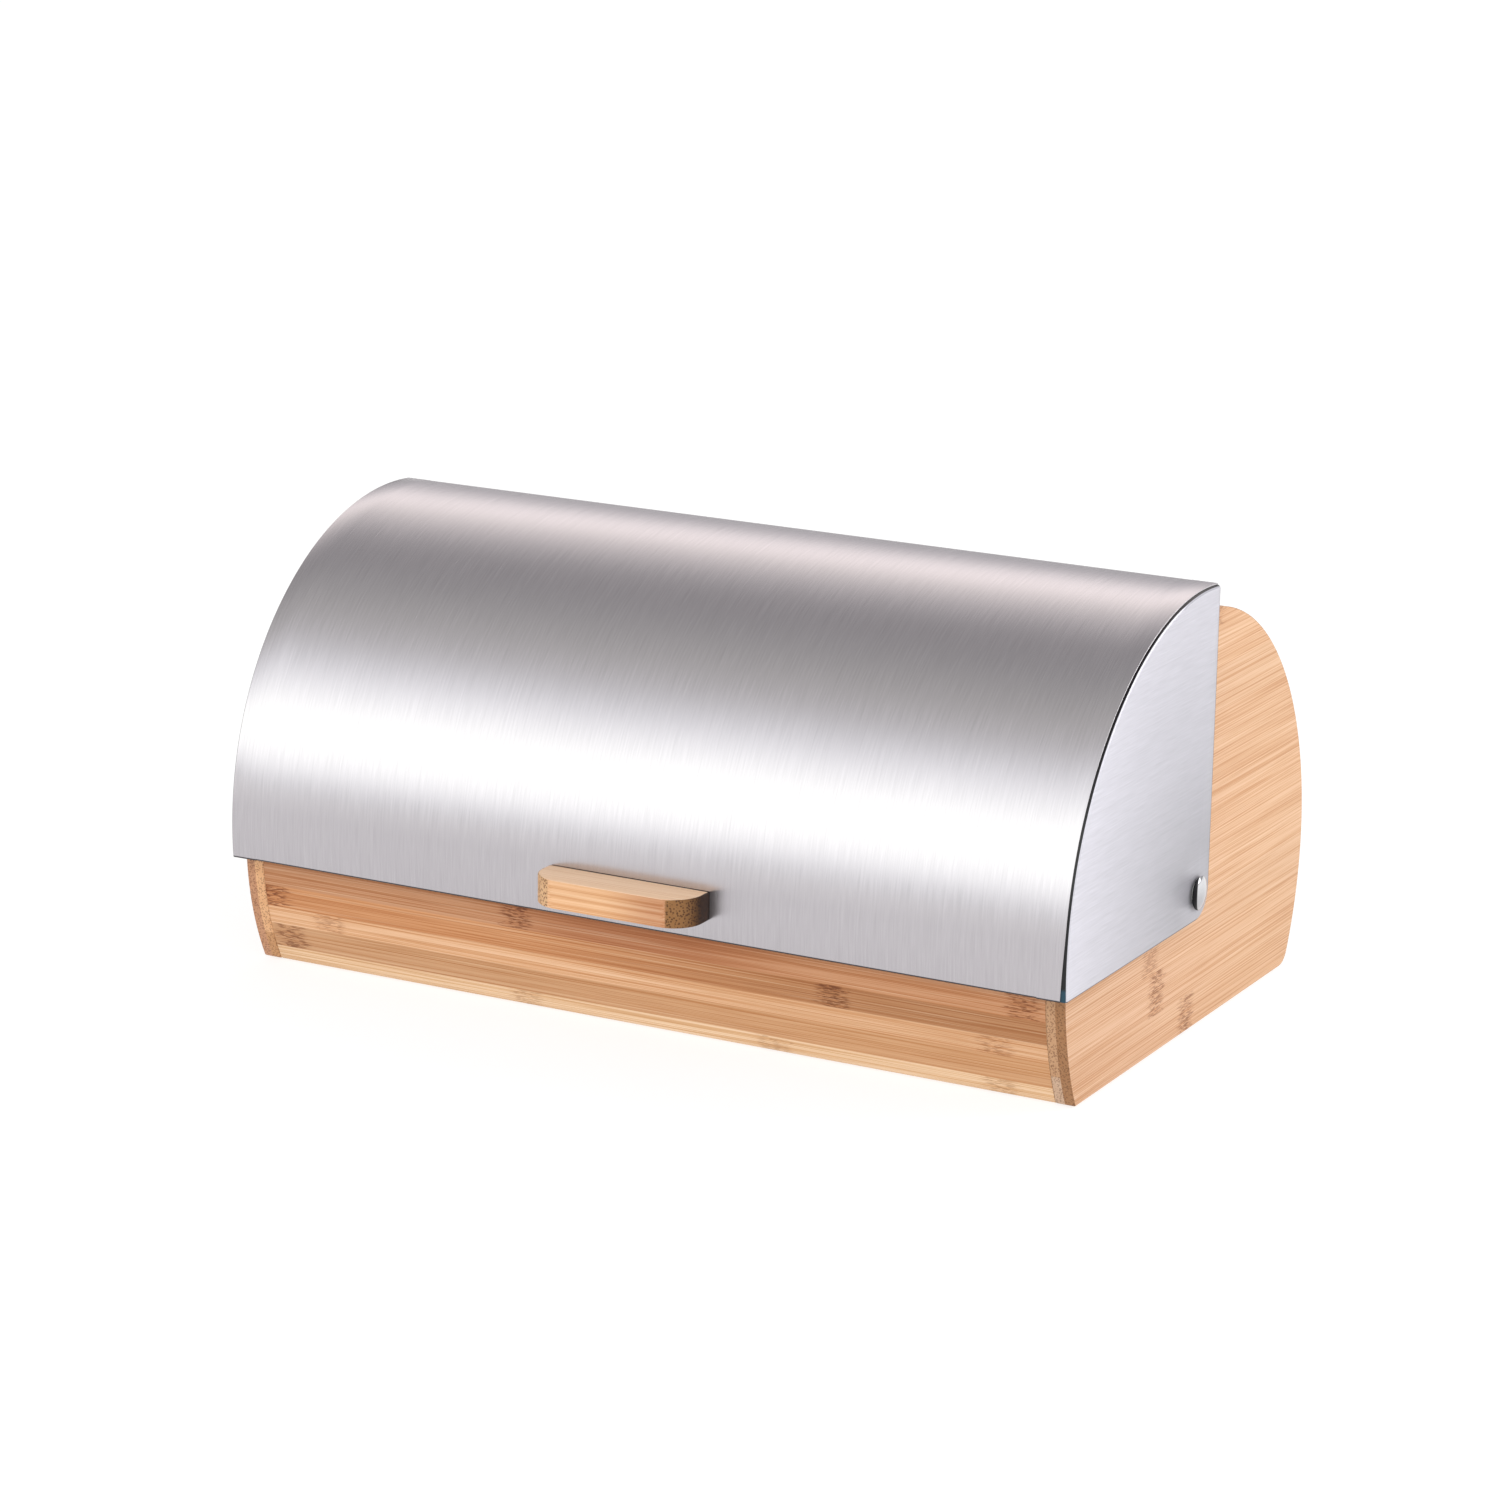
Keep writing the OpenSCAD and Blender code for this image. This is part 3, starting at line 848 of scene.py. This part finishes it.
SIDE_TONE = (0.645, 0.405, 0.264, 1)
HANDLE_TONE = (0.78, 0.465, 0.265, 1)
# painted light: the handle's top faces are paler
HANDLE_TOP_PAINTED_LIGHT = (1.0, 0.71, 0.51, 1)
SHEET_TONE = (0.585, 0.555, 0.575, 1)
CHEEK_TONE = (0.454, 0.445, 0.488, 1)

# End grain of the side boards: outer ply, inner ply, and the inner ply's foot
PLY_TONES = {"left": ((0.49, 0.245, 0.135, 1), (0.69, 0.385, 0.200, 1), (0.50, 0.255, 0.115, 1)),
             "right": ((0.33, 0.160, 0.070, 1), (0.48, 0.270, 0.146, 1), (0.53, 0.355, 0.245, 1))}

# Strips of the front board, from the bottom: upper limit, tone, and how much lighter it is at the
# right
FRONT_STRIPS = [(8 * MM, (0.76, 0.53, 0.345, 1), 1.0), (19.3 * MM, (0.545, 0.300, 0.155, 1), 1.06),
                (27.6 * MM, (0.72, 0.43, 0.255, 1), 0.93),
                (37.5 * MM, (0.575, 0.272, 0.123, 1), 0.72),
                (60 * MM, (0.50, 0.246, 0.127, 1), 1.05)]


def even_strips(first, total, width, tone, seed, spread):
    """Strips of one width with slightly different tones."""
    picks = random.Random(seed)
    strips, edge = [], first + width
    while edge < first + total + width:
        light = 1 + picks.uniform(-spread, spread)
        warm = 1 + picks.uniform(-spread, spread) / 2
        red, green, blue = (part * light for part in tone[:3])
        strips.append((edge, (red, green * warm, blue * warm ** 2, 1)))
        edge += width
    return strips


def plies(outer, inner, foot, foot_z):
    """End grain of a two-ply board, with a different inner tone below foot_z."""
    middle = (SIDE_LO.x + SIDE_HI.x) / 2

    def tone(g, position):
        x, _, z = position
        low = g.mix(g.ramp(z, foot_z - 0.2 * MM, foot_z + 0.2 * MM), foot, inner)
        outside = g.ramp(g.math("ABSOLUTE", x), middle - 0.1 * MM, middle + 0.1 * MM)
        return g.mix(outside, low, outer)

    return tone


def plain_ends(_g, _position):
    """End grain of one tone."""
    return (0.5, 0.3, 0.16, 1)


def side_material(side):
    right = side == "right"
    strips = even_strips(0, SIDE_HI.z, 19 * MM, SIDE_TONE, 4 if right else 12, 0.025)
    rear, front = 13 * MM, -19 * MM
    marks = [(front - 8 * MM, 36 * MM, 56 * MM, 0.5), (front, 17 * MM, 36 * MM, 0.8),
             (rear, 0, 17 * MM, 0.8), (rear + 17 * MM, 170 * MM, 178 * MM, 0.5),
             (rear - 3 * MM, 148 * MM, 168 * MM, 0.25)]
    ends = plies(*PLY_TONES[side], 14 * MM)

    def tint(g, position, _normal, colour):
        """The boards have yellowed towards the rear."""
        rearward = g.ramp(position[1], -60 * MM, 110 * MM)
        return g.mix(rearward, colour, times(g, colour, (0.99, 0.985, 0.91)))

    return bamboo("bamboo_side_" + side, 1, 2, strips, marks, ends, 1.0 if right else 7.0, tint)


def front_material():
    limits = [limit for limit, _, _ in FRONT_STRIPS]
    bottom, brown, light, dark, top = zip([0] + limits, limits)
    marks = [(-180 * MM, *dark, 1.0), (89 * MM, *dark, 0.9), (-58 * MM, *top, 0.9),
             (173 * MM, *top, 0.9), (-153 * MM, *light, 0.5), (160 * MM, *light, 0.5),
             (-174 * MM, *brown, 0.9), (-59 * MM, *bottom, 0.45), (160 * MM, *bottom, 0.5),
             (58 * MM, *bottom, 0.4)]

    def tint(g, position, _normal, colour):
        """Each strip changes from left to right, and the top one has painted shade in the middle.
        """
        to_right = g.ramp(position[0], -110 * MM, 130 * MM)
        for low, (high, _, change) in zip([0] + limits, FRONT_STRIPS):
            inside = g.mul(g.math("GREATER_THAN", position[2], low),
                           g.math("LESS_THAN", position[2], high))
            share = g.mul(inside, to_right)
            colour = g.mix(share, colour, times(g, colour, (change, change, change)))
        # painted shade on the top strip, darkest in the middle
        middle = g.mul(g.ramp(g.math("ABSOLUTE", position[0]), 90 * MM, 20 * MM),
                       g.math("GREATER_THAN", position[2], top[0]))
        return g.mix(middle, colour, times(g, colour, (0.84, 0.70, 0.60)))

    strips = [(limit, tone) for limit, tone, _ in FRONT_STRIPS]
    return bamboo("bamboo_front", 0, 2, strips, marks, plain_ends, 5.0, tint, 1.3)


def handle_material():
    strips = [(HANDLE_LO.z + 5 * MM, HANDLE_TONE), (HANDLE_HI.z, shade(HANDLE_TONE, 0.96))]

    def ends(g, position):
        """Painted shade on the right end, deepening towards the lid; the left end is lighter."""
        x, y, _ = position
        # painted shade on the right end, turning near black towards the lid as painted shadow
        rearward = g.ramp(y, HANDLE_LO.y + 2 * MM, HANDLE_LO.y + 13 * MM)
        painted_shade_end = g.mix(rearward, (0.27, 0.125, 0.040, 1), (0.035, 0.012, 0.003, 1))
        return g.mix(g.ramp(x, -1 * MM, 1 * MM), (0.62, 0.37, 0.195, 1), painted_shade_end)

    def tint(g, position, normal, colour):
        """Painted light on top, painted shade at the right front, painted shadow at the lid joint.
        """
        x, y, _ = position
        # painted shade on the right-hand front
        colour = g.mix(g.ramp(x, -5 * MM, 25 * MM), colour, times(g, colour, (0.72, 0.60, 0.56)))
        # painted light on the top faces
        colour = g.mix(g.ramp(normal[2], 0.6, 0.8), colour, HANDLE_TOP_PAINTED_LIGHT)
        # painted shadow in a thin line along the joint with the lid
        painted_joint_shadow = g.ramp(y, HANDLE_HI.y - 0.5 * MM, HANDLE_HI.y - 0.35 * MM)
        return g.mix(painted_joint_shadow, colour, (0.015, 0.009, 0.006, 1))

    return bamboo("bamboo_handle", 0, 2, strips, [], ends, 11.0, tint, 0.8, 0.9, 1000)


def base_material():
    strips = even_strips(SIDE_LO.y, 250 * MM, 20 * MM, SIDE_TONE, 9, 0.08)
    marks = [(-140 * MM, -80 * MM, -60 * MM, 0.6), (-30 * MM, -20 * MM, 0, 0.6),
             (90 * MM, 40 * MM, 60 * MM, 0.6)]
    return bamboo("bamboo_base", 0, 1, strips, marks, plain_ends, 17.0)


def sheet_painted_shade(g, colour):
    """Painted shade near the lid's lower edge, and dark painted shade on its lower bend and rear
    return.
    """
    _, back, up = g.split(g.coords.outputs["Normal"])
    z = g.split(g.coords.outputs["Object"])[2]
    # painted shade near the lower edge, dimming what the lid mirrors there
    lower = g.ramp(z, PIVOT.z + 24 * MM, PIVOT.z + 9 * MM)
    colour = g.mix(lower, colour, times(g, colour, (0.87, 0.87, 0.88)))
    # painted shade, near black, on the lower bend and on the rear return
    painted_bend_shade = g.mul(g.ramp(up, -0.11, -0.20), g.ramp(up, -0.99, -0.95))
    painted_edge_shade = g.math("MAXIMUM", painted_bend_shade, g.ramp(back, 0.35, 0.7))
    return g.mix(painted_edge_shade, colour, times(g, colour, (0.15, 0.145, 0.145)))


# Painted light on the cheeks: how bright it is at the pivot, in each metre away from it, right
# around the pin, and the painted shade in each metre above 60 mm
PAINTED_LIGHT_AT_PIVOT, PAINTED_LIGHT_PER_M, PAINTED_LIGHT_AT_PIN, PAINTED_SHADE_PER_M = 0.63, 4.9, 0.13, 2.4


def cheek_painted_light(g, colour):
    """Painted light grows away from the pivot and rings the pin; painted shade darkens the top, and
    painted shadow lies along the cut edges.

    The seam beside the curved sheet is painted dark as shade, with a scrap of blue film at its
    right-hand foot.
    """
    x, y, z = g.split(g.coords.outputs["Object"])
    behind, above = g.sub(y, PIVOT.y), g.sub(z, PIVOT.z)
    squares = g.add(g.mul(behind, behind), g.mul(above, above))
    reach = g.math("SQRT", squares)
    # painted light, growing away from the pivot
    painted_light_level = g.add(g.mul(reach, PAINTED_LIGHT_PER_M), PAINTED_LIGHT_AT_PIVOT)
    # painted light in a ring around the pin
    painted_pin_light = g.ramp(reach, 22 * MM, 8 * MM)
    painted_light_level = g.add(painted_light_level, g.mul(painted_pin_light, PAINTED_LIGHT_AT_PIN))
    # painted shade above 60 mm
    high = g.math("MAXIMUM", g.sub(above, 60 * MM), 0.0)
    painted_light_level = g.sub(painted_light_level, g.mul(high, PAINTED_SHADE_PER_M))
    colour = g.mix(1.0, colour, g.vector(painted_light_level, painted_light_level, painted_light_level), "MULTIPLY")
    # painted shadow along the rear and lower cut edges
    cut = g.math("MAXIMUM", g.ramp(behind, LID_BEHIND - 0.55 * MM, LID_BEHIND - 0.25 * MM),
                 g.ramp(above, 0.55 * MM - LID_BELOW, 0.25 * MM - LID_BELOW))
    colour = g.mix(cut, colour, times(g, colour, (0.16, 0.16, 0.18)))
    # painted shade in the seam under the curved sheet; the blue film at its foot is real
    seam = g.ramp(reach, LID_R - SHEET_T - 0.60 * MM, LID_R - SHEET_T - 0.42 * MM)
    film = g.mul(g.ramp(above, -6 * MM, -8 * MM), g.ramp(x, -1 * MM, 1 * MM))
    seam_shade_and_film = g.mix(film, (0.006, 0.006, 0.007, 1), (0.010, 0.05, 0.08, 1))
    return g.mix(seam, colour, seam_shade_and_film)


def burnished_bend(g):
    """1 on the bend between a cheek's plate and its flange."""
    across = g.math("ABSOLUTE", g.split(g.coords.outputs["Normal"])[0])
    return g.mul(g.ramp(across, 0.10, 0.25), g.ramp(across, 0.995, 0.96))


def dress(objects, *materials):
    """Gives pieces their materials; a sheet's second one goes on its cut edges."""
    for obj in objects:
        while len(obj.data.materials) < len(materials):
            obj.data.materials.append(None)
        for i, material in enumerate(materials):
            obj.data.materials[i] = material


def dress_nodes(names, material):
    """Gives shown CAD nodes a material through their own slots."""
    for name in names:
        node = frame["nodes"][name]
        if not node.material_slots:
            node.data.materials.append(material)
        for slot in node.material_slots:
            slot.material = material


def pin_material():
    """Polished chrome, with a painted dark reflection on the front part of the head and shade
    below.
    """
    g = Graph("pin_chrome")
    x, y, z = g.split(g.coords.outputs["Object"])
    across = g.math("DIVIDE", g.sub(y, PIVOT.y), PIN_R)
    up = g.math("DIVIDE", g.sub(z, PIVOT.z), PIN_R)
    left_over = g.sub(1.0, g.mul(up, up))
    chord = g.math("SQRT", g.math("MAXIMUM", left_over, 0.01))
    # painted dark reflection on the front part of the head
    front = g.ramp(g.math("DIVIDE", across, chord), -0.64, -0.72)
    head = g.math("GREATER_THAN", g.math("ABSOLUTE", x), CHEEK_HI.x + PIN_LIFT + 0.15 * MM)
    painted_dark_reflection = g.mul(front, head)
    haze = g.noise(g.coords.outputs["Object"], 3, 0.6, 900)
    chrome = g.mix(haze, (0.58, 0.58, 0.60, 1), (0.70, 0.70, 0.715, 1))
    # painted shade on the lower part of the pin
    chrome = g.mix(g.ramp(up, -0.5, 0.6), times(g, chrome, (0.75, 0.75, 0.76)), chrome)
    black = g.mix(haze, (0.006, 0.006, 0.007, 1), (0.02, 0.02, 0.022, 1))
    g.set(Base_Color=g.mix(painted_dark_reflection, chrome, black), Metallic=1.0)
    g.set(Roughness=g.add(g.mul(haze, 0.06), g.mul(painted_dark_reflection, 0.3)))
    g.bump(haze, 0.005 * MM, 0.2)
    return g.material


# ---------------------------------------------------------------- build

wood = bamboo_pieces()
sheet = lid_sheet()
cheeks = [cheek("left", -1), cheek("right", 1)]
shell = back_shell()
pins = [pivot_pin("left", -1), pivot_pin("right", 1)]
screws = [handle_screws(), shell_screws()]
small = small_pieces()

dress([wood["side_left"]], side_material("left"))
dress([wood["side_right"]], side_material("right"))
dress([wood["front_board"], wood["back_board"]], front_material())
dress([wood["base"]], base_material())
dress([wood["handle"]], handle_material())
# near-black cut edges: painted shade in the seams
cut_edge_shade = machined("cut_edge_painted_shade", (0.008, 0.008, 0.009), 0.8, 0.0)
dress([sheet], brushed("steel_sheet", SHEET_TONE, 0.25, 0.65, 0.15, sheet_painted_shade), cut_edge_shade)
dress([shell], brushed("steel_shell", SHEET_TONE, 0.25, 0.65, 0.15), cut_edge_shade)
steel_cheek = brushed("steel_cheek", CHEEK_TONE, 0.42, 0.5, 0.22, cheek_painted_light, burnished_bend, 0.3)
dress(cheeks, steel_cheek, cut_edge_shade)
dress(pins, pin_material())
dress(screws, machined("screw_zinc", (0.62, 0.62, 0.64), 0.28))
dress([small["feet"]], machined("foot_rubber", (0.035, 0.035, 0.037), 0.75, 0.0))
dress([small["bumpers"]], machined("bumper_silicone", (0.78, 0.78, 0.76), 0.35, 0.0))
dress_nodes(["board_dowels"], machined("dowel_wood", (0.62, 0.42, 0.24), 0.6, 0.0))
dress_nodes(["pivot_insert_left", "pivot_insert_right"],
            machined("insert_brass", (0.72, 0.50, 0.22), 0.3))
dress_nodes(["pivot_spacer_left", "pivot_spacer_right", "pivot_bush_left", "pivot_bush_right"],
            machined("nylon", (0.82, 0.82, 0.80), 0.45, 0.0))
dress_nodes(["handle_washers"], machined("washer_zinc", (0.66, 0.66, 0.68), 0.3))


# ---------------------------------------------------------------- floor, light and camera

def floor(size=14.0, grey=(0.32, 0.32, 0.32, 1), glow=0.76):
    mesh = bpy.data.meshes.new("floor")
    corners = [(-size, -size, 0), (size, -size, 0), (size, size, 0), (-size, size, 0)]
    mesh.from_pydata(corners, [], [(0, 1, 2, 3)])
    obj = add_object("floor", mesh)
    g = Graph("floor_pale")
    g.set(Base_Color=grey, Roughness=0.9)
    g.shader.inputs["Specular IOR Level"].default_value = 0.0
    g.shader.inputs["Emission Color"].default_value = (1, 1, 1, 1)
    g.shader.inputs["Emission Strength"].default_value = glow
    mesh.materials.append(g.material)


# The studio by height angle, 0 at the front horizon, 90 overhead, 180 at the rear horizon:
# angle, brightness, red and blue against green
STUDIO = [(-30, 0.95, 1, 1), (-6, 0.72, 0.98, 1.03), (2, 0.98, 0.98, 1.02), (10, 1.74, 0.97, 1),
          (20, 2.0, 0.96, 0.96), (31, 1.97, 0.96, 0.96), (40, 1.65, 0.97, 1),
          (52, 1.13, 0.98, 1.03), (63, 0.74, 1, 1), (75, 0.61, 1, 0.97), (90, 0.46, 1, 1),
          (103, 0.39, 1.02, 1.02), (113, 0.40, 1.02, 1.02), (124, 0.67, 1.03, 1),
          (135, 1.02, 1.06, 0.97), (144, 1.50, 1.08, 0.97), (152, 1.25, 1.06, 1),
          (160, 0.62, 1.03, 1.03), (168, 0.50, 1.02, 1.04), (180, 0.42, 1, 1), (210, 0.80, 1, 1)]


def studio_world():
    lowest, highest = STUDIO[0][0], STUDIO[-1][0]
    world = bpy.data.worlds.new("studio")
    bpy.context.scene.world = world
    world.use_nodes = True
    tree = world.node_tree
    background = tree.nodes["Background"]
    coords = tree.nodes.new("ShaderNodeTexCoord")
    parts = tree.nodes.new("ShaderNodeSeparateXYZ")
    tree.links.new(coords.outputs["Generated"], parts.inputs[0])
    back = tree.nodes.new("ShaderNodeMath")
    back.operation = "MULTIPLY"
    back.inputs[1].default_value = -1
    tree.links.new(parts.outputs[1], back.inputs[0])
    turn = tree.nodes.new("ShaderNodeMath")
    turn.operation = "ARCTAN2"
    tree.links.new(parts.outputs[2], turn.inputs[0])
    tree.links.new(back.outputs[0], turn.inputs[1])
    share = tree.nodes.new("ShaderNodeMapRange")
    share.inputs["From Min"].default_value = math.radians(lowest)
    share.inputs["From Max"].default_value = math.radians(highest)
    tree.links.new(turn.outputs[0], share.inputs["Value"])
    ramp = tree.nodes.new("ShaderNodeValToRGB")
    ramp.color_ramp.interpolation = "B_SPLINE"
    tree.links.new(share.outputs["Result"], ramp.inputs["Fac"])
    stops = ramp.color_ramp.elements
    peak = max(level for _, level, _, _ in STUDIO)
    while len(stops) < len(STUDIO):
        stops.new(0.5)
    for stop, (angle, level, red, blue) in zip(stops, STUDIO):
        stop.position = (angle - lowest) / (highest - lowest)
        stop.color = (red * level / peak, level / peak, blue * level / peak, 1)
    tree.links.new(ramp.outputs["Color"], background.inputs["Color"])
    background.inputs["Strength"].default_value = peak


def softbox(name, place, aim, size, brightness):
    light = bpy.data.lights.new(name, "AREA")
    light.shape = "RECTANGLE"
    light.size, light.size_y = size
    light.energy = brightness * math.pi * size[0] * size[1]
    obj = add_object(name, light)
    obj.location = place
    obj.rotation_euler = (Vector(aim) - Vector(place)).to_track_quat("-Z", "Y").to_euler()
    obj.visible_camera = False


CAMERA = {"azimuth": 28.0, "elevation": 15.18, "roll": 0.93, "distance": 2.0043, "lens": 112.14,
          "target": (-4.0 * MM, -1.0 * MM, 94.6 * MM)}


def camera():
    data = bpy.data.cameras.new("camera")
    data.sensor_width = 36
    data.lens = CAMERA["lens"]
    data.clip_start, data.clip_end = 0.05, 60
    obj = add_object("camera", data)
    a, e = math.radians(CAMERA["azimuth"]), math.radians(CAMERA["elevation"])
    back = Vector((math.sin(a) * math.cos(e), -math.cos(a) * math.cos(e), math.sin(e)))
    roll = Euler((0, 0, math.radians(CAMERA["roll"]))).to_quaternion()
    turn = (-back).to_track_quat("-Z", "Y") @ roll
    obj.rotation_euler = turn.to_euler()
    obj.location = Vector(CAMERA["target"]) + back * CAMERA["distance"]
    bpy.context.scene.camera = obj


floor()
studio_world()
softbox("right", (1.5, 0.25, 0.55), (0.19, -0.02, 0.1), (0.9, 0.9), 1.3)
softbox("rear_right", (1.2, 0.85, 0.70), (0.19, -0.06, 0.1), (0.8, 1.3), 2.6)
camera()
bpy.context.scene.view_settings.view_transform = "Standard"
